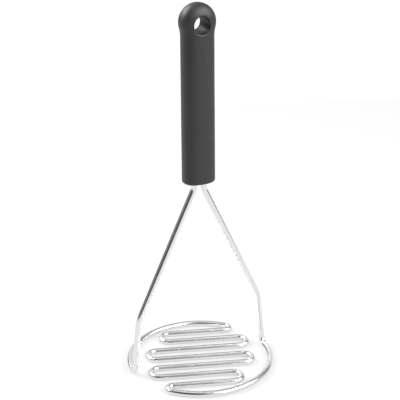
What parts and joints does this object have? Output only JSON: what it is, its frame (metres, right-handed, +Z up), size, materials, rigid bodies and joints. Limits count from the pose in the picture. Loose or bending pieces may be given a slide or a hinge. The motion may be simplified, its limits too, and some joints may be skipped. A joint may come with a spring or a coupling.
{
  "type": "potato masher",
  "caption": "Wire potato masher: bent steel wire with an open ring and serpentine grid, legs and a moulded handle with a hanging hole.",
  "frame": {"origin": "centre of the wire ring, on the surface that the masher stands on", "axes": "+Z up along the handle, X along the straight runs of the grid, +Y towards the back run"},
  "size_m": [0.1, 0.1, 0.245],
  "materials": {
    "handle_plastic": "fine-textured satin",
    "wire_steel": "bright polished"
  },
  "bodies": {
    "root": {"handle": "handle_plastic", "left_leg": "wire_steel", "right_leg": "wire_steel", "back_arc": "wire_steel", "front_arc": "wire_steel", "mashing_grid": "wire_steel"}
  },
  "joints": []
}
